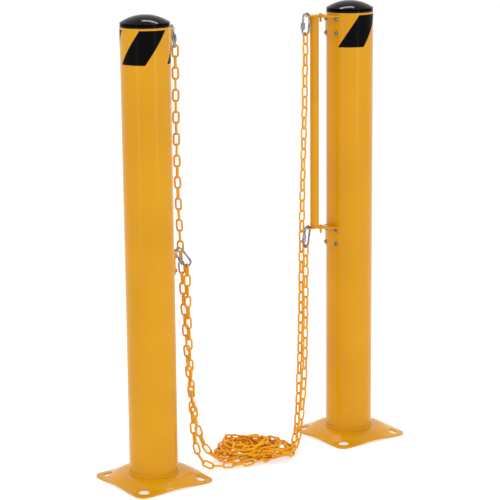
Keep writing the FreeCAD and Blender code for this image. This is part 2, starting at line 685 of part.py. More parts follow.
def rounded_route(points):
    """Straight runs joined by tangent arcs, and the arcs' radii."""
    edges = []
    radii = []
    here = points[0]
    for before, corner, after in zip(points, points[1:], points[2:]):
        into = (corner - before).normalize()
        out = (after - corner).normalize()
        half = into.getAngle(out) / 2
        cut = ARC_SHARE * min((corner - before).Length, (after - corner).Length)
        radius = cut / math.tan(half)
        middle = (out - into).normalize()
        centre = corner + middle * (radius / math.cos(half))
        start, end = corner - into * cut, corner + out * cut
        edges.append(Part.LineSegment(here, start).toShape())
        edges.append(Part.Arc(start, centre - middle * radius, end).toShape())
        radii.append(radius)
        here = end
    edges.append(Part.LineSegment(here, points[-1]).toShape())
    return Part.Wire(edges), radii


def chain_run(name, side, places):
    """Plain tube along a stretch of chain that hangs from a link and runs into the heap."""
    sign = post_side(side)
    half = size("post_spacing") / 2
    points = [FreeCAD.Vector(sign * (half - x), y, z) for x, y, z in places]
    wire, radii = rounded_route(points)
    radius = size("chain_section") / 2
    ring = Part.Wire(Part.makeCircle(radius, points[0], points[1] - points[0]))
    tube = wire.makePipeShell([ring], True, False)
    expected = math.pi * radius * radius * wire.Length
    if abs(tube.Volume / expected - 1) > 0.01:
        raise RuntimeError("%s: volume %.0f, expected %.0f" % (name, tube.Volume, expected))
    print(name, "length %.0f" % wire.Length, "arc radii", [round(r) for r in radii])
    run = doc.addObject("Part::Feature", name)
    run.Shape = tube
    node(run, name)


def chain_heap():
    """Outer shape of the spare chain of both lengths, lying in one heap."""
    heap = add("Part::Ellipsoid", "chain_heap", Radius1="sizes.heap_height",
               Radius2="sizes.heap_long", Radius3="sizes.heap_short")
    heap.Angle1 = 0
    heap.Angle2 = 90
    heap.Angle3 = 360
    heap.Placement = FreeCAD.Placement(
        FreeCAD.Vector(), FreeCAD.Rotation(FreeCAD.Vector(0, 0, 1), size("heap_turn")))
    bind(heap, Placement__Base__x="sizes.heap_x", Placement__Base__y="sizes.heap_y")
    node(heap, "chain_heap")


def fastener_masters():
    """One screw and one rivet nut, turned about Z with z = 0 on the pipe's surface."""
    shank = "sizes.screw_thread / 2"
    face = "sizes.saddle_thick"
    dome = "(sizes.screw_head / 2)"
    rise = "(sizes.screw_rise * 2 / 3)"
    sphere = "((%s * %s + %s * %s) / (2 * %s))" % (dome, dome, rise, rise, rise)
    screw = turned_body("screw_master", [
        ("0", "-sizes.rivet_nut_depth"),
        (shank, "-sizes.rivet_nut_depth"),
        (shank, face),
        (dome, face),
        (dome, face + " + sizes.screw_rise / 3", "+" + sphere),
        ("0", face + " + sizes.screw_rise"),
    ])
    bore = "sizes.screw_thread / 2"
    body = "sizes.rivet_nut_od / 2"
    wall = "-sizes.post_wall"
    # The nut's flat end stays below the round of the pipe.
    sink = "(sizes.post_od / 2 - sqrt((sizes.post_od / 2) ^ 2 - (sizes.rivet_nut_od / 2) ^ 2))"
    nut = turned_body("rivet_nut_master", [
        (bore, "-sizes.rivet_nut_depth"),
        (body, "-sizes.rivet_nut_depth"),
        (body, wall + " - 3"),
        ("sizes.rivet_nut_bulge / 2", wall + " - 1.6"),
        (body, wall + " - 0.2"),
        (body, "-" + sink),
        (bore, "-" + sink),
    ])
    doc.recompute()
    return screw.Shape, nut.Shape


screw_shape, rivet_nut_shape = fastener_masters()
for post in ("left", "right"):
    base_plate(post)
    post_tube(post)
    base_weld(post)
    cap(post)
    stripes(post)
    for rank in ("upper", "lower"):
        saddle(post, rank)
        eye_tab(post, rank)
        surface = size("post_od") / 2
        ring_of_four("%s_%s_screws" % (post, rank), post, rank, screw_shape, surface)
        ring_of_four("%s_%s_rivet_nuts" % (post, rank), post, rank, rivet_nut_shape, surface)
        quick_link(post, rank)
hook_bar()
for run_name, (run_side, run_places) in ROUTES.items():
    chain_run(run_name, run_side, run_places)
chain_heap()
doc.recompute()

for thing in doc.Objects:
    if "Invalid" in thing.State or "Error" in thing.State:
        raise RuntimeError("%s failed: %s" % (thing.Name, thing.State))
os.makedirs("parts", exist_ok=True)
for part in NODES:
    if part.Shape.isNull() or not part.Shape.isValid():
        raise RuntimeError("%s has a bad shape" % part.Label)
for part in NODES:
    part.Shape.exportStep("parts/%s.step" % part.Label)
    print(part.Label, len(part.Shape.Solids), "solids, volume %.0f" % part.Shape.Volume)
print(len(NODES), "nodes")
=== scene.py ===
"""Looks of the chain barrier post set: two bollards, a lift-off hook bar, and two plastic chains.

Metres.  +X runs from the left post to the right one, +Z is up, and the origin is on the floor
midway between the posts.
"""

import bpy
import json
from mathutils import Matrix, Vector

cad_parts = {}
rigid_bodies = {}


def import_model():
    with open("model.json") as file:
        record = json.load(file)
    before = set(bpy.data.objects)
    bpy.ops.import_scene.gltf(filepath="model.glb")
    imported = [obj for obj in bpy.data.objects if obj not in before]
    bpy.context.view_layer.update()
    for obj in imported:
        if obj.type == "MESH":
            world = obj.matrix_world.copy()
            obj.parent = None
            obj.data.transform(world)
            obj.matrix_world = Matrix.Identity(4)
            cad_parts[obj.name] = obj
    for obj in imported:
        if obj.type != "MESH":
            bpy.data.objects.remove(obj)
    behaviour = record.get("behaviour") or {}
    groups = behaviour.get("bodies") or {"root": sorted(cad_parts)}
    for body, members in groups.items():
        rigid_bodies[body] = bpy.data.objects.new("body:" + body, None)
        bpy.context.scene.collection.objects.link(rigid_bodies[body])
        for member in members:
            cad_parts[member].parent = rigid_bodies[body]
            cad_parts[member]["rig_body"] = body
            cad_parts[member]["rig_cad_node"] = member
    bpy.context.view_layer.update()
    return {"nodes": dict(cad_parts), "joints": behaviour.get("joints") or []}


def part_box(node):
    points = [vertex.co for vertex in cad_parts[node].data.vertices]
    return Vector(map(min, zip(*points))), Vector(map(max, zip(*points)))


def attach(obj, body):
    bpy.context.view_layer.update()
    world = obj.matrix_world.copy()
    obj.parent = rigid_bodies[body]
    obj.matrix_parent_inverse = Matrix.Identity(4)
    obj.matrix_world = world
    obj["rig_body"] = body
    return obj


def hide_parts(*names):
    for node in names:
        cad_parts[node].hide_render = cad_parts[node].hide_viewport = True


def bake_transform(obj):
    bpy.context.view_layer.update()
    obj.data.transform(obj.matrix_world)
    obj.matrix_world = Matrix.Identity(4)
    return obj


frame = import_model()

import json
import logging
import math
from dataclasses import dataclass
from enum import Enum
from typing import List, Optional, Sequence, Tuple, Union

import bmesh
import bpy
import numpy as np
from mathutils import Matrix, Vector

log = logging.getLogger("chain_posts")

MM = 0.001
Number = Union[int, float]
Colour = Tuple[float, float, float]
Point = Tuple[float, float, float]


def srgb(red: int, green: int, blue: int) -> Colour:
    """Linear colour of an 8-bit display colour.

    Args:
        red: 0 to 255.
        green: 0 to 255.
        blue: 0 to 255.

    Returns:
        Three linear values from 0 to 1.
    """
    value = np.array([red, green, blue]) / 255.0
    linear = np.where(value <= 0.04045, value / 12.92, ((value + 0.055) / 1.055) ** 2.4)
    return tuple(float(x) for x in linear)


# ---------------------------------------------------------------- shader building


class Signal:
    """A shader socket that adds Math nodes when it is used in a Python expression."""

    def __init__(self, bench: "Bench", socket: bpy.types.NodeSocket) -> None:
        """Keep the socket and the bench that its nodes are made on."""
        self.bench = bench
        self.socket = socket

    def _math(self, operation: str, *values: Union["Signal", Number]) -> "Signal":
        """One Math node over the values."""
        return self.bench.node("ShaderNodeMath", {"operation": operation}, dict(enumerate(values)))

    def __add__(self, other: Union["Signal", Number]) -> "Signal":
        """Sum."""
        return self._math("ADD", self, other)

    __radd__ = __add__

    def __mul__(self, other: Union["Signal", Number]) -> "Signal":
        """Product."""
        return self._math("MULTIPLY", self, other)

    __rmul__ = __mul__

    def __sub__(self, other: Union["Signal", Number]) -> "Signal":
        """Difference."""
        return self._math("SUBTRACT", self, other)

    def __rsub__(self, other: Number) -> "Signal":
        """Reflected difference, so that 1 - mask works."""
        return self._math("SUBTRACT", other, self)

    def band(self, low: float, high: float) -> "Signal":
        """0 at low and 1 at high, with a smooth step between them."""
        return self.bench.node(
            "ShaderNodeMapRange", {"interpolation_type": "SMOOTHSTEP"},
            {"Value": self, "From Min": low, "From Max": high, "To Min": 0.0, "To Max": 1.0})


class Bench:
    """Builds one node material."""

    def __init__(self, name: str) -> None:
        """Start an empty material with its output node.

        Args:
            name: the material's name.
        """
        self.material = bpy.data.materials.new(name)
        self.material.use_nodes = True
        self.tree = self.material.node_tree
        self.tree.nodes.clear()
        self.output = self.tree.nodes.new("ShaderNodeOutputMaterial")

    def node(self, kind: str, settings: Optional[dict] = None, inputs: Optional[dict] = None,
             output: Union[int, str] = 0) -> Signal:
        """Add a node, apply its settings, then set or link its sockets.

        Args:
            kind: the node's type.
            settings: properties set first; "stops" is a list of (place, colour) for a ramp.
            inputs: socket name or number to a value or a Signal.
            output: which output socket to return.

        Returns:
            The chosen output as a Signal.
        """
        made = self.tree.nodes.new(kind)
        for key, value in (settings or {}).items():
            if key == "stops":
                ramp = made.color_ramp
                while len(ramp.elements) < len(value):
                    ramp.elements.new(0.5)
                for element, (place, colour) in zip(ramp.elements, value):
                    element.position = place
                    element.color = (*colour, 1.0)
            else:
                setattr(made, key, value)
        for key, value in (inputs or {}).items():
            socket = made.inputs[key]
            if isinstance(value, Signal):
                self.tree.links.new(value.socket, socket)
            elif isinstance(value, tuple) and len(value) == 3 and socket.type == "RGBA":
                socket.default_value = (*value, 1.0)
            else:
                socket.default_value = value
        return Signal(self, made.outputs[output])

    def place(self) -> Signal:
        """Object coordinates, which are row-frame metres on every piece here."""
        return self.node("ShaderNodeTexCoord", output="Object")

    def noise(self, scale: float, detail: float = 2.0, rough: float = 0.5,
              vector: Optional[Signal] = None) -> Signal:
        """Noise from 0 to 1 at a scale in cycles a metre."""
        return self.node("ShaderNodeTexNoise", {"noise_dimensions": "3D"},
                         {"Vector": vector or self.place(), "Scale": scale, "Detail": detail,
                          "Roughness": rough})

    def blend(self, mask: Signal, dark: Union[Colour, Signal],
              light: Union[Colour, Signal]) -> Signal:
        """Colour mix by a mask."""
        return self.node("ShaderNodeMix", {"data_type": "RGBA", "clamp_factor": True},
                         {0: mask, 6: dark, 7: light}, output=2)

    def bump(self, height: Signal, distance: float, strength: float = 1.0) -> Signal:
        """Normal from a height, with its depth in metres."""
        return self.node("ShaderNodeBump", {}, {"Height": height, "Distance": distance,
                                                "Strength": strength})

    def finish(self, **sockets: Union[Signal, Number, Colour]) -> bpy.types.Material:
        """Principled shader with the given sockets; an underscore stands for a space.

        Args:
            sockets: socket name to a number, a colour or a Signal.

        Returns:
            The finished material.
        """
        named = {key.replace("_", " "): value for key, value in sockets.items()}
        shader = self.node("ShaderNodeBsdfPrincipled", {}, named)
        self.tree.links.new(shader.socket, self.output.inputs["Surface"])
        return self.material


@dataclass(frozen=True)
class PowderCoat:
    """Gloss safety-yellow powder coat with a fine orange peel and faint handling marks."""

    name: str = "post_yellow"
    tint: Colour = srgb(215, 152, 14)
    deep: Colour = srgb(208, 145, 12)
    dust: Colour = srgb(150, 95, 20)
    dust_share: float = 0.12
    rough: float = 0.17
    peel: float = 0.000035
    cloud_scale: float = 7.0
    peel_scale: float = 520.0
    dust_scale: float = 1400.0
    rub_scale: float = 3.0
    rub_stretch: Point = (60.0, 60.0, 6.0)

    def build(self) -> bpy.types.Material:
        """Build the material.

        Returns:
            The finished material.
        """
        bench = Bench(self.name)
        broad = bench.noise(self.cloud_scale, 3.0)
        peel = bench.noise(self.peel_scale, 1.0)
        stretched = bench.node("ShaderNodeMapping", {}, {
            "Vector": bench.place(), "Scale": self.rub_stretch})
        rubs = bench.noise(self.rub_scale, 5.0, 0.7, stretched).band(0.60, 0.78)
        dust = bench.noise(self.dust_scale, 0.0).band(0.74, 0.82)
        colour = bench.blend(broad.band(0.3, 0.7), self.deep, self.tint)
        colour = bench.blend(dust * self.dust_share, colour, self.dust)
        return bench.finish(
            Base_Color=colour, Roughness=self.rough + rubs * 0.12 + broad * 0.05,
            Normal=bench.bump(peel, self.peel), Specular_IOR_Level=0.2)


@dataclass(frozen=True)
class MouldedBlack:
    """Gloss black moulded plastic with a trace of flow marks."""

    name: str = "black_cap"
    tint: Colour = srgb(5, 5, 6)
    marks: Colour = srgb(11, 11, 12)
    rough: float = 0.06
    flow_scale: float = 38.0
    grain_scale: float = 900.0

    def build(self) -> bpy.types.Material:
        """Build the material.

        Returns:
            The finished material.
        """
        bench = Bench(self.name)
        flow = bench.noise(self.flow_scale, 4.0, 0.6)
        grain = bench.noise(self.grain_scale, 1.0)
        colour = bench.blend(flow.band(0.3, 0.8), self.tint, self.marks)
        return bench.finish(Base_Color=colour, Roughness=self.rough + flow * 0.06,
                            Normal=bench.bump(grain, 0.000004), Specular_IOR_Level=0.07)


@dataclass(frozen=True)
class BlackFilm:
    """Black film with the faint cell pattern that such sheeting has."""

    name: str = "black_film"
    tint: Colour = srgb(4, 4, 5)
    edges: Colour = srgb(13, 13, 15)
    rough: float = 0.16
    cell: float = 330.0
    cloud_scale: float = 22.0

    def build(self) -> bpy.types.Material:
        """Build the material.

        Returns:
            The finished material.
        """
        bench = Bench(self.name)
        cells = bench.node("ShaderNodeTexVoronoi", {"feature": "DISTANCE_TO_EDGE"},
                           {"Vector": bench.place(), "Scale": self.cell})
        edge = cells.band(0.0, 0.12)
        broad = bench.noise(self.cloud_scale, 3.0)
        colour = bench.blend(edge, self.edges, self.tint)
        return bench.finish(Base_Color=colour, Roughness=self.rough + broad * 0.14,
                            Normal=bench.bump(edge, 0.000008), Specular_IOR_Level=0.04)


@dataclass(frozen=True)
class ZincPlate:
    """Zinc-plated steel with soft spangle and drawing marks."""

    name: str = "zinc_link"
    tint: Colour = srgb(178, 180, 184)
    dull: Colour = srgb(108, 110, 115)
    rough: float = 0.22
    cloud_scale: float = 160.0
    grain_scale: float = 1500.0

    def build(self) -> bpy.types.Material:
        """Build the material.

        Returns:
            The finished material.
        """
        bench = Bench(self.name)
        cloud = bench.noise(self.cloud_scale, 4.0, 0.65)
        fine = bench.noise(self.grain_scale, 2.0)
        colour = bench.blend(cloud.band(0.35, 0.7), self.dull, self.tint)
        return bench.finish(Base_Color=colour, Metallic=1.0,
                            Roughness=self.rough + cloud * 0.2 + fine * 0.06,
                            Normal=bench.bump(fine, 0.000015))


@dataclass(frozen=True)
class ChainPlastic:
    """Moulded yellow chain plastic, with each link a slightly different shade."""

    name: str = "chain_yellow"
    tint: Colour = srgb(238, 172, 8)
    deep: Colour = srgb(230, 152, 6)
    rough: float = 0.36
    tone_share: float = 0.6
    flow_scale: float = 120.0
    grain_scale: float = 1100.0

    def build(self) -> bpy.types.Material:
        """Build the material.

        Returns:
            The finished material.
        """
        bench = Bench(self.name)
        tone = bench.node("ShaderNodeAttribute", {"attribute_name": "link_tone"}, output="Fac")
        flow = bench.noise(self.flow_scale, 3.0)
        grain = bench.noise(self.grain_scale, 1.0)
        mix = tone * self.tone_share + flow * (1.0 - self.tone_share)
        colour = bench.blend(mix, self.deep, self.tint)
        return bench.finish(Base_Color=colour, Roughness=self.rough + flow * 0.14,
                            Normal=bench.bump(grain, 0.00002),
                            Specular_IOR_Level=0.25)


@dataclass(frozen=True)
class StudioFloor:
    """Plain pale studio floor."""

    name: str = "studio_floor"
    tint: Colour = (0.5, 0.5, 0.5)
    glow: float = 0.56

    def build(self) -> bpy.types.Material:
        """Build the material.

        Returns:
            The finished material.
        """
        bench = Bench(self.name)
        return bench.finish(Base_Color=self.tint, Roughness=0.85, Specular_IOR_Level=0.1,
                            Emission_Color=(1.0, 1.0, 1.0), Emission_Strength=self.glow)


class Finish(Enum):
    """The finishes, by the record's material slots."""

    POST = PowderCoat()
    WELD = PowderCoat(name="weld_yellow", peel=0.00006)
    BRACKET = PowderCoat(name="bracket_yellow", tint=srgb(217, 154, 14), deep=srgb(209, 146, 12))
    BAR = PowderCoat(name="bar_yellow", tint=srgb(214, 151, 14), deep=srgb(203, 140, 12))
    CAP = MouldedBlack()
    FILM = BlackFilm()
    SCREW = ZincPlate(name="zinc_screw", tint=srgb(150, 151, 154), dull=srgb(112, 113, 117),
                      rough=0.34)
    LINK = ZincPlate()
    CHAIN = ChainPlastic()
    FLOOR = StudioFloor()

    @property
    def slot(self) -> str:
        """The record's slot, from which the material's name look_<slot> is made."""
        return self.value.name

    def material(self) -> bpy.types.Material:
        """The material, built once."""
        found = bpy.data.materials.get("look_" + self.slot)
        if found is None:
            found = self.value.build()
            found.name = "look_" + self.slot
        return found


# ---------------------------------------------------------------- surfaces


def grid_faces(rows: int, columns: int, close_rows: bool, close_columns: bool) -> np.ndarray:
    """Quads of a grid of points, row by row.

    Each quad joins point (i, j) to (i, j+1), (i+1, j+1) and (i+1, j), wrapping where asked.

    Args:
        rows: points along the first parameter.
        columns: points along the second parameter.
        close_rows: join the last row to the first.
        close_columns: join the last column to the first.

    Returns:
        An array of point indices, four to a quad.
    """
    i, j = np.meshgrid(np.arange(rows if close_rows else rows - 1),
                       np.arange(columns if close_columns else columns - 1), indexing="ij")
    up, across = (i + 1) % rows, (j + 1) % columns
    return np.stack([i * columns + j, i * columns + across, up * columns + across,
                     up * columns + j], axis=-1).reshape(-1, 4)


def add_object(name: str, data: bpy.types.ID) -> bpy.types.Object:
    """A new object in the scene that holds the data."""
    made = bpy.data.objects.new(name, data)
    bpy.context.scene.collection.objects.link(made)
    return made


def shade(mesh: bpy.types.Mesh, smooth_angle: float) -> None:
    """Shade a mesh smooth, but keep edges sharper than so many degrees."""
    mesh.polygons.foreach_set("use_smooth", np.ones(len(mesh.polygons), bool))
    mesh.set_sharp_from_angle(angle=math.radians(smooth_angle))


def mesh_piece(name: str, points: np.ndarray, faces: Sequence, finish: Finish,
               smooth_angle: float = 40.0) -> bpy.types.Object:
    """A mesh object at the origin with outward normals and smooth shading.

    Args:
        name: the object's name.
        points: row-frame points.
        faces: point indices of each face.
        finish: its finish.
        smooth_angle: edges sharper than this many degrees stay sharp.

    Returns:
        The new object.
    """
    mesh = bpy.data.meshes.new(name)
    mesh.from_pydata(points.reshape(-1, 3).tolist(), [], [tuple(f) for f in faces])
    work = bmesh.new()
    work.from_mesh(mesh)
    bmesh.ops.remove_doubles(work, verts=work.verts, dist=1e-7)
    bmesh.ops.recalc_face_normals(work, faces=work.faces)
    work.to_mesh(mesh)
    work.free()
    shade(mesh, smooth_angle)
    return dress(add_object(name, mesh), finish)


def dress(piece: bpy.types.Object, finish: Finish) -> bpy.types.Object:
    """Give an object one finish.

    Args:
        piece: the object.
        finish: its finish.

    Returns:
        The same object.
    """
    piece.data.materials.clear()
    piece.data.materials.append(finish.material())
    return piece


def placed(points: np.ndarray, place: Matrix) -> np.ndarray:
    """Points carried by a placement matrix."""
    matrix = np.array(place)
    return points @ matrix[:3, :3].T + matrix[:3, 3]


def round_angles(steps: int) -> np.ndarray:
    """Evenly spaced angles once round, without the repeat at the end."""
    return np.linspace(0.0, 2.0 * math.pi, steps, endpoint=False)


def unit_rows(rows: np.ndarray) -> np.ndarray:
    """Each row over its length."""
    return rows / np.linalg.norm(rows, axis=1, keepdims=True)


def arc_length(line: np.ndarray) -> np.ndarray:
    """Distance along a line of points, from 0 at its first."""
    return np.concatenate([[0], np.cumsum(np.linalg.norm(np.diff(line, axis=0), axis=1))])


def on_line(line: np.ndarray, places: np.ndarray) -> np.ndarray:
    """Points of a line at the given distances along it."""
    along = arc_length(line)
    return np.stack([np.interp(places, along, line[:, k]) for k in range(3)], axis=-1)


def level_arc(axis: Vector, reach: float, angle: np.ndarray, height: float) -> np.ndarray:
    """Points (x + r cos a, y + r sin a, z) about an upright axis, all at one height."""
    return np.stack([axis.x + reach * np.cos(angle), axis.y + reach * np.sin(angle),
                     np.full_like(angle, height)], axis=-1)


def hexagon(flats: float, angle: np.ndarray) -> np.ndarray:
    """A hexagon's outline: half its width across flats over cos(((t + 30) mod 60) - 30)."""
    sixth = math.pi / 3.0
    return flats / 2 / np.cos((angle + sixth / 2) % sixth - sixth / 2)


def end_faces(rows: int, ring: int) -> List[List[int]]:
    """The two faces that close a tube of so many rows of points."""
    return [list(range(ring)), list(range(rows * ring - ring, rows * ring))]


@dataclass(frozen=True)
class Bead:
    """A weld bead: its radius, the share its ripples add, their pitch and its ring of points."""

    radius: float
    ripple: float
    pitch: float
    ring: int = 12

    def sweep(self, path: np.ndarray) -> Tuple[np.ndarray, np.ndarray]:
        """A round section swept along a path, its radius rippled along its length.

        The section at arc length s has radius r (1 + k |sin(pi s / p)|), in the plane square to
        the path, so the ripples lie one pitch apart.  An open bead thins out at both ends.

        Args:
            path: points along the bead, first and last the same where it closes.

        Returns:
            The points and the faces.
        """
        closed = bool(np.allclose(path[0], path[-1]))
        line = path[:-1] if closed else path
        if closed:
            ahead, behind = np.roll(line, -1, axis=0), np.roll(line, 1, axis=0)
        else:
            ahead = np.vstack([line[1:], 2 * line[-1] - line[-2]])
            behind = np.vstack([2 * line[0] - line[1], line[:-1]])
        up = np.array([0.0, 0.0, 1.0])
        side = unit_rows(np.cross(unit_rows(ahead - behind), up))
        along = arc_length(line)
        size = self.radius * (1.0 + self.ripple * np.abs(np.sin(math.pi * along / self.pitch)))
        if not closed:
            near_end = np.minimum(along, along[-1] - along)
            size = size * np.sqrt(np.clip(near_end / (2 * self.radius), 0, 1))
        angle = round_angles(self.ring)
        grid = line[:, None] + size[:, None, None] * (
            np.cos(angle)[None, :, None] * side[:, None] + np.sin(angle)[None, :, None] * up)
        return grid, grid_faces(len(line), self.ring, closed, True)


def bevelled_copy(node: str, finish: Finish, width: float,
                  sharp: float = 38.0) -> bpy.types.Object:
    """A CAD node's shape with its doubles merged and its edges rounded, shown in its place.

    Args:
        node: the CAD node.
        finish: its finish.
        width: of the rounding.
        sharp: edges sharper than this many degrees are rounded.

    Returns:
        The new piece.
    """
    work = bmesh.new()
    work.from_mesh(frame["nodes"][node].data)
    bmesh.ops.remove_doubles(work, verts=work.verts, dist=1e-6)
    bmesh.ops.dissolve_limit(work, angle_limit=math.radians(0.5), verts=work.verts,
                             edges=work.edges)
    mesh = bpy.data.meshes.new(node + "_rounded")
    work.to_mesh(mesh)
    work.free()
    shade(mesh, sharp)
    piece = add_object(node + "_rounded", mesh)
    bevel = piece.modifiers.new("edges", "BEVEL")
    bevel.width = width
    bevel.segments = 2
    bevel.limit_method = "ANGLE"
    bevel.angle_limit = math.radians(sharp)
    bevel.harden_normals = True
    dress(piece, finish)
    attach(piece, frame["nodes"][node]["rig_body"])
    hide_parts(node)
    return piece


# ---------------------------------------------------------------- sub-assemblies


class Side(Enum):
    """Which post."""

    LEFT = "left"
    RIGHT = "right"


class Level(Enum):
    """Which bracket."""

    UPPER = "upper"
    LOWER = "lower"


@dataclass
class Post:
    """One bollard: plate, pipe, weld, cap and stripes."""

    side: Side
    weld_rise: float = 22.0 * MM
    weld_offset: float = 0.6 * MM
    pipe_radius: float = 57.15 * MM
    plate_edge: float = 0.9 * MM
    bead: Bead = Bead(2.9 * MM, 0.05, 5.0 * MM, ring=14)

    def axis(self) -> Vector:
        """The pipe's axis on the floor."""
        low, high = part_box(self.side.value + "_cap")
        return Vector(((low.x + high.x) / 2, (low.y + high.y) / 2, 0.0))

    def build(self) -> List[bpy.types.Object]:
        """Dress the carried-over nodes and add the rippled foot weld.

        Returns:
            The new pieces.
        """
        name = self.side.value
        for part, finish in (("post_tube", Finish.POST), ("cap", Finish.CAP),
                             ("stripes", Finish.FILM)):
            dress(frame["nodes"]["%s_%s" % (name, part)], finish)
        plate = bevelled_copy(name + "_base_plate", Finish.POST, self.plate_edge)
        return [plate, self.foot_weld()]

    def foot_weld(self) -> bpy.types.Object:
        """Fillet bead where the pipe stands on the plate, rippled like a hand-laid weld.

        Returns:
            The bead.
        """
        path = level_arc(self.axis(), self.pipe_radius + self.weld_offset,
                         np.linspace(0.0, 2.0 * math.pi, 361), self.weld_rise + self.weld_offset)
        points, faces = self.bead.sweep(path)
        weld = mesh_piece(self.side.value + "_foot_weld", points, faces, Finish.WELD, 60.0)
        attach(weld, "root")
        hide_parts(self.side.value + "_base_weld")
        return weld


@dataclass
class Bracket:
    """One saddle with its eye tab, tab weld and four dome-head screws."""

    side: Side
    level: Level
    saddle_face: float = 60.15 * MM
    edge: float = 0.6 * MM
    tab_thick: float = 3.5 * MM
    weld_span: float = 24.0
    bead: Bead = Bead(2.1 * MM, 0.14, 3.2 * MM)
    screw_turn: float = 19.5
    screw_drops: Tuple[float, float] = (9.0 * MM, 43.0 * MM)
    head_radius: float = 5.0 * MM
    head_rise: float = 5.3 * MM
    rim_share: float = 0.34
    shank: Tuple[float, float] = (3.0 * MM, 6.0 * MM)
    socket_flats: float = 3.2 * MM
    socket_depth: float = 2.2 * MM

    @property
    def name(self) -> str:
        """Start of its nodes' names."""
        return "%s_%s" % (self.side.value, self.level.value)

    @property
    def top(self) -> float:
        """Height of the bracket's top edge."""
        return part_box(self.name + "_saddle")[1].z

    def build(self) -> List[bpy.types.Object]:
        """Round the saddle's and the tab's edges, and add the weld and the screws.

        Returns:
            The new pieces.
        """
        dress(frame["nodes"][self.name + "_rivet_nuts"], Finish.SCREW)
        return [bevelled_copy(self.name + "_saddle", Finish.BRACKET, self.edge),
                bevelled_copy(self.name + "_eye_tab", Finish.BRACKET, self.edge),
                self.tab_weld(), self.screws()]

    def facing(self) -> float:
        """Direction the bracket faces, in radians from +X."""
        return 0.0 if self.side is Side.LEFT else math.pi

    def tab_weld(self) -> bpy.types.Object:
        """Fillet bead under the eye tab where it meets the saddle.

        Returns:
            The bead.
        """
        span = math.radians(self.weld_span)
        path = level_arc(Post(self.side).axis(), self.saddle_face,
                         np.linspace(-span, span, 90) + self.facing(), self.top - self.tab_thick)
        points, faces = self.bead.sweep(path)
        faces = faces.tolist() + end_faces(*points.shape[:2])
        weld = mesh_piece(self.name + "_tab_weld", points, faces, Finish.BRACKET, 60.0)
        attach(weld, "root")
        return weld

    def screw_shape(self, steps: int = 36) -> Tuple[np.ndarray, np.ndarray]:
        """A dome head with a six-sided socket, on a short shank.

        Ring radii blend from the socket's hexagon to the head's circle, and the dome is a
        sphere's cap on a straight rim.

        Args:
            steps: points round each ring, a multiple of six.

        Returns:
            The points and the quads, with z along the screw and 0 on the saddle's face.
        """
        angle = round_angles(steps)
        socket = hexagon(self.socket_flats, angle)
        rim = self.head_rise * self.rim_share
        rise = self.head_rise - rim
        sphere = (self.head_radius ** 2 + rise ** 2) / (2 * rise)

        def dome(radius: np.ndarray) -> np.ndarray:
            """Height of the sphere's cap at a radius."""
            return rim + np.sqrt(sphere ** 2 - radius ** 2) - (sphere - rise)

        floor = float(dome(np.array(self.socket_flats / 2))) - self.socket_depth
        share = np.linspace(0.0, 1.0, 7)[:, None]
        outer = socket * (1 - share) + self.head_radius * share
        flat = np.full(steps, 1.0)
        shank_radius, shank_depth = self.shank
        radii = [flat * 0.0, socket * 0.6, socket * 0.98, socket, *outer,
                 flat * self.head_radius * 0.97, flat * shank_radius, flat * shank_radius,
                 flat * 0.0]
        heights = [flat * (floor - 0.4 * MM), flat * floor, flat * floor,
                   dome(socket) - 0.15 * MM, *[dome(r) for r in outer],
                   flat * 0.0, flat * 0.0, flat * -shank_depth, flat * -shank_depth]
        radius, height = np.array(radii), np.array(heights)
        grid = np.stack([radius * np.cos(angle), radius * np.sin(angle), height], axis=-1)
        return grid, grid_faces(len(grid), steps, False, True)

    def screws(self) -> bpy.types.Object:
        """The bracket's four screws as one piece.

        Returns:
            The piece.
        """
        axis = Post(self.side).axis()
        shape, faces = self.screw_shape()
        points, quads = [], []
        for drop in self.screw_drops:
            for way in (-1, 1):
                turn = self.facing() + math.radians(way * self.screw_turn)
                spin = Matrix.Rotation(turn, 4, "Z") @ Matrix.Rotation(math.pi / 2, 4, "Y")
                out = Vector((math.cos(turn), math.sin(turn), 0.0)) * self.saddle_face
                place = Matrix.Translation(axis + out + Vector((0, 0, self.top - drop))) @ spin
                quads.append(faces + sum(len(p) for p in points))
                points.append(placed(shape, place).reshape(-1, 3))
        piece = mesh_piece(self.name + "_dome_screws", np.vstack(points), np.vstack(quads),
                           Finish.SCREW, 35.0)
        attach(piece, "root")
        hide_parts(self.name + "_screws")
        return piece


@dataclass
class HookBar:
    """The lift-off bar: tube, tabs, pins and the welds that join them."""

    tube_radius: float = 10.65 * MM
    edge: float = 0.6 * MM
    weld_inset: float = 0.8 * MM
    bead: Bead = Bead(1.5 * MM, 0.15, 2.6 * MM)

    def build(self) -> List[bpy.types.Object]:
        """Dress the tube and pins, round the tabs, and add the two ring welds.

        Returns:
            The new pieces.
        """
        for part in ("tube", "top_pin", "bottom_pin"):
            dress(frame["nodes"]["hook_bar_" + part], Finish.BAR)
        pieces = [bevelled_copy("hook_bar_%s_tab" % end, Finish.BAR, self.edge)
                  for end in ("top", "bottom")]
        low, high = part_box("hook_bar_tube")
        angle = np.linspace(0.0, 2.0 * math.pi, 121)
        for label, height in (("top", high.z - self.weld_inset),
                              ("bottom", low.z + self.weld_inset)):
            path = level_arc((low + high) / 2, self.tube_radius, angle, height)
            points, faces = self.bead.sweep(path)
            weld = mesh_piece("hook_bar_%s_weld" % label, points, faces, Finish.BAR, 60.0)
            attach(weld, "hook_bar")
            pieces.append(weld)
        return pieces


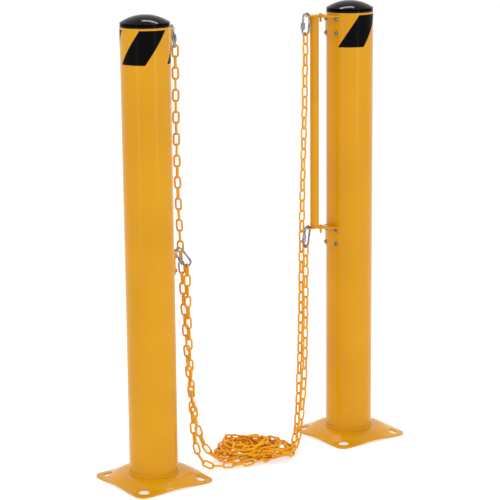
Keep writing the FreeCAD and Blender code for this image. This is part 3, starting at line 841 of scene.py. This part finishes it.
@dataclass
class QuickLink:
    """One oval of zinc wire with a threaded mouth, and its six-sided sleeve nut."""

    side: Side
    level: Level
    bow: float = 9.25 * MM
    leg: float = 32.5 * MM
    mouth: Tuple[float, float] = (17.75 * MM, 24.75 * MM)
    wire: float = 2.5 * MM
    leg_clear: float = 0.2 * MM
    thread_reach: float = 14.0 * MM
    thread_share: float = 0.8
    thread_pitch: float = 0.9 * MM
    thread_depth: float = 0.28 * MM
    tip_share: float = 0.72
    tip_length: float = 1.2 * MM
    nut_middle: float = 21.25 * MM
    nut_length: float = 16.5 * MM
    nut_flats: float = 9.0 * MM
    nut_bore: float = 2.6 * MM
    bore_lip: Tuple[float, float] = (0.3 * MM, 0.4 * MM)
    cone_share: float = 0.93
    cone_slope: float = 0.55

    @property
    def name(self) -> str:
        """Its CAD node and body."""
        return "%s_%s_quick_link" % (self.side.value, self.level.value)

    @property
    def nut_name(self) -> str:
        """Its nut's CAD node and body."""
        return "%s_%s_sleeve_nut" % (self.side.value, self.level.value)

    def place(self) -> Matrix:
        """Upper bow's centre with the outer leg on +X and the link's length on -Z.

        The swing joint gives the centre and the link's flat, and the nut's joint its length.

        Returns:
            The placement.
        """
        joints = {joint["child"]: joint for joint in frame["joints"]}
        swing, travel = joints[self.name], joints[self.nut_name]
        along = Vector(travel["axis"]).normalized()
        square = -Vector(swing["axis"]).normalized()
        out = square.cross(along).normalized()
        turn = Matrix((out, square, along)).transposed().to_4x4()
        return Matrix.Translation(Vector(swing["pos_m"])) @ turn

    def hang_point(self) -> Vector:
        """Lowest point of the wire's middle line, on the lower bow.

        Returns:
            The point.
        """
        place = self.place()
        square = place.to_3x3() @ Vector((0.0, 1.0, 0.0))
        down = Vector((0.0, 0.0, -1.0))
        down = (down - square * down.dot(square)).normalized()
        return place @ Vector((0.0, 0.0, -self.leg)) + down * self.bow

    def wire_line(self) -> np.ndarray:
        """Centre line from one mouth end over the top and round to the other, in the link's frame.

        Two half circles of the bow's radius joined by two straight legs.

        Returns:
            Points as (x, z).
        """
        half = np.linspace(0.0, math.pi, 25)
        top = np.stack([self.bow * np.cos(half), self.bow * np.sin(half)], axis=-1)
        bottom = np.stack([-self.bow * np.cos(half), -self.leg - self.bow * np.sin(half)], axis=-1)
        thread = np.arange(0.0, self.thread_reach, self.thread_pitch / 8)
        first = np.stack([np.full_like(thread, self.bow), -self.mouth[0] + thread], axis=-1)
        last = np.stack([np.full_like(thread, self.bow), -self.mouth[1] - thread[::-1]], axis=-1)
        first = first[first[:, 1] < -self.leg_clear]
        last = last[last[:, 1] > -self.leg + self.leg_clear]
        return np.vstack([first, top, bottom, last])

    def build(self) -> List[bpy.types.Object]:
        """Make the wire and the nut.

        Returns:
            The two new pieces.
        """
        wire, nut = self.wire_piece(), self.nut_piece()
        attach(wire, self.name)
        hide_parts(self.name)
        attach(nut, self.nut_name)
        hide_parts(self.nut_name)
        return [wire, nut]

    def wire_piece(self, ring: int = 20) -> bpy.types.Object:
        """Round wire along the centre line, with a screw thread next to the mouth.

        The radius at arc length s and turn t is w - d (1 + cos(2 pi s / p - t)) / 2 where the
        thread is, and w elsewhere; the wire thins at its two ends, which are closed.

        Args:
            ring: points round the wire.

        Returns:
            The piece.
        """
        line = self.wire_line()
        tangent = unit_rows(np.gradient(line, axis=0))
        side = np.stack([tangent[:, 1], -tangent[:, 0]], axis=-1)
        along = arc_length(line)
        near_end = np.minimum(along, along[-1] - along)
        angle = round_angles(ring)
        thread_end = self.thread_reach * self.thread_share
        cut = np.clip((thread_end - near_end) / (2 * self.thread_pitch), 0, 1)
        wave = (1 + np.cos(2 * math.pi * along[:, None] / self.thread_pitch - angle)) / 2
        radius = self.wire - self.thread_depth * cut[:, None] * wave
        radius = radius * np.clip(self.tip_share + near_end[:, None] / self.tip_length, 0, 1)
        flat = radius * np.cos(angle)
        grid = np.stack([line[:, None, 0] + flat * side[:, None, 0], radius * np.sin(angle),
                         line[:, None, 1] + flat * side[:, None, 1]], axis=-1)
        faces = grid_faces(len(line), ring, False, True).tolist() + end_faces(len(line), ring)
        return mesh_piece(self.name + "_wire", placed(grid, self.place()), faces, Finish.LINK, 50.0)

    def nut_piece(self, ring: int = 48) -> bpy.types.Object:
        """Six-sided sleeve whose corners are turned down to a cone at both ends.

        The outline's radius is the lesser of the hexagon's and the chamfer cone's at each height.

        Args:
            ring: points round the sleeve, a multiple of six.

        Returns:
            The piece.
        """
        angle = round_angles(ring)
        half = self.nut_length / 2
        steps = np.array([0.0, 0.5, 1.2, 2.0]) * MM
        heights = np.concatenate([steps - half, [0.0], (half - steps)[::-1]])
        cone = self.nut_flats / 2 * self.cone_share + (half - np.abs(heights)) * self.cone_slope
        outer = np.minimum(hexagon(self.nut_flats, angle), cone[:, None])
        widen, lip = self.bore_lip
        bore = np.array([self.nut_bore + widen, self.nut_bore, self.nut_bore,
                         self.nut_bore + widen])
        bore_heights = np.array([half, half - lip, -half + lip, -half])
        radius = np.vstack([outer, np.broadcast_to(bore[:, None], (4, ring))])
        height = np.concatenate([heights, bore_heights])[:, None]
        grid = np.stack([self.bow + radius * np.cos(angle), radius * np.sin(angle),
                         np.broadcast_to(height - self.nut_middle, radius.shape)], axis=-1)
        return mesh_piece(self.nut_name + "_sleeve", placed(grid, self.place()),
                          grid_faces(len(grid), ring, True, True), Finish.LINK, 25.0)


@dataclass(frozen=True)
class Stretch:
    """A part of a chain, with the bodies at its two ends and how it lies."""

    label: str
    links: int
    lower: str
    upper: str
    lay: str


@dataclass
class Chain:
    """One plastic chain, from the left quick link through the heap to the right one."""

    level: Level
    left: Sequence[Point]
    heap: Sequence[Tuple[float, float, float, float, float]]
    right: Sequence[Point]
    stretches: Sequence[Stretch]
    seed: int
    calm_links: int
    post_half: float = 295.0
    pitch: float = 25.5 * MM
    width: float = 18.0 * MM
    length: float = 33.0 * MM
    wire: float = 5.0 * MM
    centre: Tuple[float, float] = (-8.0, -18.0)
    turn: float = -25.0
    per_turn: int = 14
    width_waves: Sequence[Tuple[float, float]] = ((0.05, 2.27), (0.03, 3.71))
    height_wave: Tuple[float, float] = (4.0, 1.83)
    lowest: float = 10.0
    chord_share: float = 0.42
    jitter: float = 40.0
    askew: Point = (0.20, 0.20, 0.16)
    most: float = 1.6
    loose_rate: float = 12.0
    loose_least: float = 0.12

    def heap_points(self) -> np.ndarray:
        """Control points of the loops in the heap.

        The heap's stations are (angle, shift, long radius, short radius, height).  Between them
        the point at angle t is the centre plus (s + a w cos t, b w sin t), turned, with the shift
        s along the heap, a, b and the height running evenly from station to station, and w = 1
        plus two slow waves that drift from one turn to the next, so that no two turns lie alike.

        Returns:
            The points in millimetres.
        """
        chance = np.random.default_rng(self.seed)
        stations = np.array(self.heap, float)
        angle = np.arange(stations[0, 0], stations[-1, 0], 360.0 / self.per_turn)
        shift, along, across, height = (np.interp(angle, stations[:, 0], stations[:, k])
                                        for k in (1, 2, 3, 4))
        theta = np.radians(angle)
        phase = chance.uniform(0.0, 2 * math.pi, 3)
        wave = np.ones_like(theta)
        for (size, rate), start in zip(self.width_waves, phase):
            wave = wave + size * np.sin(rate * theta + start)
        shape = np.stack([shift + along * wave * np.cos(theta), across * wave * np.sin(theta)])
        spin = math.radians(self.turn)
        shape = np.array([[math.cos(spin), -math.sin(spin)],
                          [math.sin(spin), math.cos(spin)]]) @ shape
        size, rate = self.height_wave
        height = height + size * np.sin(rate * theta + phase[2])
        return np.stack([shape[0] + self.centre[0], shape[1] + self.centre[1],
                         np.maximum(height, self.lowest)], axis=-1)

    def control_points(self) -> np.ndarray:
        """The whole chain's control points, from the left quick link to the right.

        Returns:
            The points in metres.
        """
        left, right = np.array(self.left), np.array(self.right)
        left[:, 0] = left[:, 0] - self.post_half
        right[:, 0] = self.post_half - right[:, 0]
        return np.vstack([left, self.heap_points(), right[::-1]]) * MM

    def line(self) -> np.ndarray:
        """Points along the smooth line through the control points, as the curve gives them.

        Returns:
            The points in metres.
        """
        points = self.control_points()
        curve = bpy.data.curves.new(self.level.value + "_chain_line", "CURVE")
        curve.dimensions = "3D"
        spline = curve.splines.new("NURBS")
        spline.points.add(len(points) - 1)
        spline.points.foreach_set("co", np.hstack([points, np.ones((len(points), 1))]).ravel())
        spline.order_u = 3
        spline.use_endpoint_u = True
        spline.resolution_u = 24
        holder = bpy.data.objects.new(curve.name, curve)
        mesh = bpy.data.meshes.new_from_object(holder)
        found = np.empty(len(mesh.vertices) * 3)
        mesh.vertices.foreach_get("co", found)
        bpy.data.meshes.remove(mesh)
        bpy.data.objects.remove(holder)
        bpy.data.curves.remove(curve)
        return found.reshape(-1, 3)

    def link_shape(self, around: int = 16, ring: int = 6) -> Tuple[np.ndarray, np.ndarray]:
        """One oval link: a round section carried round a stadium.

        The centre line is two half circles of radius a joined by straights of length 2h; its long
        side lies on X and its flat is square to Z.

        Args:
            around: points round the link, a multiple of four.
            ring: points round the section.

        Returns:
            The points and the quads.
        """
        bend = (self.width - self.wire) / 2
        half = (self.length - self.wire) / 2 - bend
        quarter = around // 4
        turn = np.concatenate([np.linspace(-90, 90, 2 * quarter), np.linspace(90, 270, 2 * quarter)])
        turn = np.radians(turn)
        shift = np.where(np.arange(around) < 2 * quarter, half, -half)
        line = np.stack([shift + bend * np.cos(turn), bend * np.sin(turn)], axis=-1)
        outward = np.stack([np.cos(turn), np.sin(turn)], axis=-1)
        angle = round_angles(ring)
        reach = self.wire / 2 * np.cos(angle)
        grid = np.stack([line[:, None, 0] + reach * outward[:, None, 0],
                         line[:, None, 1] + reach * outward[:, None, 1],
                         np.broadcast_to(self.wire / 2 * np.sin(angle), (around, ring))], axis=-1)
        return grid, grid_faces(around, ring, True, True)

    def link_frames(self, line: np.ndarray) -> Tuple[np.ndarray, np.ndarray, np.ndarray, np.ndarray]:
        """Where each link's middle is along the line, and how it is turned.

        A flat direction is carried along the line without twist.  The links turn by a quarter
        from one to the next, and the heap takes up the twist that brings the last link square to
        the right quick link.

        Args:
            line: points along the chain's middle line.

        Returns:
            Middles, directions along, flat normals, and arc lengths of the middles.
        """
        ends = [QuickLink(side, self.level) for side in Side]
        gap = self.length / 2 - self.wire / 2
        total = arc_length(line)[-1]
        start, stop = (end[2] - (link.hang_point().z + (self.wire / 2 + link.wire) - gap)
                       for link, end in zip(ends, (line[0], line[-1])))
        count = sum(s.links for s in self.stretches)
        middles = np.linspace(start, total - stop, count)
        reach = self.length * self.chord_share
        direction = unit_rows(on_line(line, np.minimum(middles + reach, total))
                              - on_line(line, np.maximum(middles - reach, 0)))
        first, goal = (np.array(link.place().to_3x3() @ Vector((1, 0, 0))) for link in ends)
        normals = [first]
        for step in direction:
            flat = normals[-1] - step * (normals[-1] @ step)
            normals.append(flat / np.linalg.norm(flat))
        normals = np.array(normals[1:])
        roll = np.where(np.arange(count) % 2, math.pi / 2, 0.0)
        last, side = normals[-1], np.cross(direction[-1], normals[-1])
        error = math.atan2(goal @ side, goal @ last) - roll[-1]
        error = (error + math.pi / 2) % math.pi - math.pi / 2
        share = np.clip((np.arange(count) - self.calm_links) / (count - 2 * self.calm_links), 0, 1)
        turns, leans = self.disorder(share)
        direction = unit_rows(direction + leans)
        angle = roll + error * share + turns
        side = np.cross(direction, normals)
        flat = normals * np.cos(angle)[:, None] + side * np.sin(angle)[:, None]
        return on_line(line, middles), direction, flat, middles

    def disorder(self, share: np.ndarray) -> Tuple[np.ndarray, np.ndarray]:
        """How far each link is turned and leans by chance: little where it hangs, more in the heap.

        Args:
            share: how far through the heap each link is, from 0 to 1.

        Returns:
            Each link's turn in radians, and what is added to its direction.
        """
        count = len(share)
        chance = np.random.default_rng(self.seed + 40)
        jitter = np.radians(self.jitter) * chance.standard_normal(count).clip(-self.most, self.most)
        loose = np.clip(np.minimum(share, 1 - share) * self.loose_rate, self.loose_least, 1)
        askew = chance.standard_normal((count, 3)).clip(-self.most, self.most) * self.askew
        return jitter * loose, askew * loose[:, None]

    def build(self) -> List[bpy.types.Object]:
        """Make every stretch of links and pass each to hang.

        Returns:
            The pieces, from left to right.
        """
        line = self.line()
        along = arc_length(line)
        middle, direction, flat, places = self.link_frames(line)
        log.info("%s chain: line %.3f m, %d links, pitch %.2f mm", self.level.value, along[-1],
                 len(places), (places[1] - places[0]) / MM)
        shape, quads = self.link_shape()
        shape = shape.reshape(-1, 3)
        basis = np.stack([direction, np.cross(flat, direction), flat], axis=1)
        points = np.einsum("pk,nkc->npc", shape, basis) + middle[:, None]
        tones = np.random.default_rng(self.seed + 90).random(len(middle))
        pieces, first = [], 0
        for stretch in self.stretches:
            last = first + stretch.links
            name = "%s_chain_%s" % (self.level.value, stretch.label)
            faces = (quads[None] + np.arange(stretch.links)[:, None, None] * len(shape))
            piece = mesh_piece(name, points[first:last], faces.reshape(-1, 4), Finish.CHAIN, 180.0)
            tone = piece.data.attributes.new("link_tone", "FLOAT", "POINT")
            tone.data.foreach_set("value", np.repeat(tones[first:last], len(shape)).astype("f"))
            low = 0.0 if first == 0 else (places[first - 1] + places[first]) / 2
            high = along[-1] if last == len(places) else (places[last - 1] + places[last]) / 2
            inside = line[(along > low + MM) & (along < high - MM)]
            self.hang(piece, stretch)
            pieces.append(piece)
            first = last
        return pieces

    def hang(self, piece: bpy.types.Object, stretch: Stretch) -> None:
        """Tie a stretch to its body where both its ends are on the same one; otherwise bake its
        place into its mesh.

        Args:
            piece: the stretch's mesh.
            stretch: which stretch it is.
        """
        if stretch.lower == stretch.upper:
            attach(piece, stretch.lower)
        else:
            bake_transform(piece)


UPPER_CHAIN = Chain(
    Level.UPPER, seed=7, calm_links=40,
    left=[(83.7, 4.6, 1010.6), (85.0, 8.0, 905.0), (87.0, 11.0, 795.0), (90.5, 14.0, 675.0),
          (96.0, 16.0, 555.0), (101.5, 16.2, 440.0), (107.0, 15.0, 330.0), (112.5, 13.0, 232.0),
          (122.0, 11.0, 150.0), (134.0, 8.5, 88.0), (151.0, 2.0, 42.0), (176.0, -10.0, 17.0),
          (204.0, -26.0, 9.2)],
    heap=[(235, -36, 58, 54, 18), (360, -34, 54, 50, 26), (560, -40, 46, 44, 34),
          (740, -20, 44, 44, 40), (900, -34, 43, 43, 44), (1080, -28, 46, 44, 38),
          (1300, -6, 44, 43, 36), (1500, 20, 46, 43, 28), (1700, 44, 43, 42, 22),
          (1900, 10, 50, 46, 30), (2060, 30, 52, 46, 24), (2140, 44, 44, 45, 15)],
    right=[(135.1, 0.0, 1014.5), (134.2, 3.5, 905.0), (135.1, 7.0, 790.0), (136.2, 11.2, 670.0),
           (137.4, 14.0, 548.0), (139.2, 14.2, 425.0), (143.0, 12.4, 305.0), (149.6, 9.0, 198.0),
           (156.0, 5.0, 118.0), (164.0, 0.0, 66.0), (177.0, -11.0, 31.0), (200.5, -30.3, 12.2),
           (226.0, -48.0, 9.3)],
    stretches=[Stretch("left_end", 6, "root", "left_upper_quick_link", "hanging"),
               Stretch("main", 102, "root", "root", "loose"),
               Stretch("right_hang", 28, "root", "hook_bar", "hanging"),
               Stretch("right_end", 8, "hook_bar", "right_upper_quick_link", "hanging")])

LOWER_CHAIN = Chain(
    Level.LOWER, seed=19, calm_links=18,
    left=[(98.4, -7.4, 501.0), (98.2, -8.6, 408.0), (99.6, -9.6, 318.0), (102.4, -10.5, 222.0),
          (104.2, -11.8, 140.0), (106.0, -14.5, 88.0), (111.5, -20.0, 46.0), (125.0, -29.0, 18.0),
          (150.0, -40.0, 10.0), (182.0, -49.5, 9.4), (213.0, -57.0, 9.3)],
    heap=[(262, -34, 66, 66, 10), (400, -30, 64, 60, 10), (560, -40, 60, 56, 10),
          (740, -30, 54, 52, 12), (900, -54, 46, 44, 20), (1120, -46, 44, 44, 30),
          (1330, -10, 44, 44, 12), (1560, -8, 46, 44, 22), (1780, 44, 46, 43, 11),
          (2000, 52, 44, 42, 14), (2200, 36, 44, 43, 22), (2400, -8, 48, 46, 28),
          (2600, -36, 56, 52, 20), (2800, -40, 58, 54, 24), (3000, 0, 52, 48, 32),
          (3140, 30, 54, 50, 24), (3220, 30, 62, 56, 12)],
    right=[(139.1, -4.1, 497.0), (142.6, -8.5, 400.0), (146.0, -11.2, 300.0), (150.0, -13.8, 205.0),
           (157.0, -15.5, 128.0), (166.0, -18.5, 74.0), (179.0, -27.0, 38.0), (200.0, -44.5, 16.5),
           (228.0, -62.0, 9.5)],
    stretches=[Stretch("left_end", 6, "root", "left_lower_quick_link", "hanging"),
               Stretch("main", 121, "root", "root", "loose"),
               Stretch("right_hang", 9, "root", "hook_bar", "hanging"),
               Stretch("right_end", 8, "hook_bar", "right_lower_quick_link", "hanging")])


@dataclass
class Studio:
    """Camera, lights and floor."""

    eye: Point = (-2.5405, -3.5047, 1.4604)
    heading: float = 35.837
    pitch: float = 12.333
    roll: float = -0.501
    sensor: float = 36.0
    lens: float = 133.01928
    floor_reach: float = 9.0
    floor_drop: float = 0.0004

    def camera(self) -> bpy.types.Object:
        """The camera, aimed by heading from +Y toward +X, downward pitch and roll.

        Returns:
            The camera.
        """
        yaw, dip, lean = (math.radians(a) for a in (self.heading, self.pitch, self.roll))
        ahead = Vector((math.sin(yaw) * math.cos(dip), math.cos(yaw) * math.cos(dip),
                        -math.sin(dip)))
        right = Vector((math.cos(yaw), -math.sin(yaw), 0.0))
        up = right.cross(ahead)
        across = right * math.cos(lean) + up * math.sin(lean)
        upright = up * math.cos(lean) - right * math.sin(lean)
        data = bpy.data.cameras.new("camera")
        data.sensor_width = self.sensor
        data.lens = self.lens
        data.clip_start, data.clip_end = 0.1, 60.0
        camera = add_object("camera", data)
        camera.matrix_world = (Matrix.Translation(Vector(self.eye))
                               @ Matrix((across, upright, -ahead)).transposed().to_4x4())
        bpy.context.scene.camera = camera
        return camera

    def softbox(self, name: str, place: Point, aim: Point, size: Tuple[float, float],
                power: float) -> bpy.types.Object:
        """One rectangular soft light aimed at a point.

        Args:
            name: the light's name.
            place: where it stands.
            aim: the point that it faces.
            size: its width and height.
            power: in watts.

        Returns:
            The light.
        """
        data = bpy.data.lights.new(name, "AREA")
        data.shape = "RECTANGLE"
        data.size, data.size_y = size
        data.energy = power
        lamp = add_object(name, data)
        lamp.location = place
        lamp.rotation_euler = (Vector(aim) - Vector(place)).to_track_quat("-Z", "Y").to_euler()
        return lamp

    def build(self) -> None:
        """Set the camera, the lights, the white surround and the floor."""
        self.camera()
        self.softbox("strip_left", (-2.9, -0.9, 1.0), (0.0, 0.0, 0.5), (0.16, 2.0), 5.0)
        self.softbox("strip_right", (0.4, -3.2, 1.2), (0.0, 0.0, 0.5), (0.2, 2.0), 9.0)
        self.softbox("back_strip", (0.9, 1.15, 3.7), (0.0, 0.0, 1.0), (1.2, 0.26), 26.0)
        world = bpy.data.worlds.new("surround")
        world.use_nodes = True
        back = world.node_tree.nodes["Background"]
        back.inputs["Color"].default_value = (1.0, 1.0, 1.0, 1.0)
        back.inputs["Strength"].default_value = 1.0
        bpy.context.scene.world = world
        bpy.context.scene.view_settings.view_transform = "Standard"
        reach, drop = self.floor_reach, self.floor_drop
        corners = [(-reach, -reach, -drop), (reach, -reach, -drop), (reach, reach, -drop),
                   (-reach, reach, -drop)]
        mesh = bpy.data.meshes.new("floor")
        mesh.from_pydata(corners, [], [(0, 1, 2, 3)])
        floor = add_object("floor", mesh)
        floor.data.materials.append(Finish.FLOOR.material())


def report(pieces: Sequence[bpy.types.Object]) -> None:
    """Log each piece's name and how many faces it has."""
    for piece in pieces:
        log.info("%s: %d faces", piece.name, len(piece.data.polygons))


def main() -> None:
    """Build every sub-assembly in order."""
    logging.basicConfig(level=logging.INFO, format="%(name)s %(message)s")
    Studio().build()
    for chain in (UPPER_CHAIN, LOWER_CHAIN):
        pieces = chain.build()
        stand_ins = ["%s_chain_%s_run" % (chain.level.value, s.value) for s in Side]
        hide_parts(*stand_ins, "chain_heap")
        report(pieces)
    for side in Side:
        made = Post(side).build()
        for level in Level:
            made += Bracket(side, level).build()
            made += QuickLink(side, level).build()
        report(made)
    report(HookBar().build())


if __name__ == "__main__":
    main()
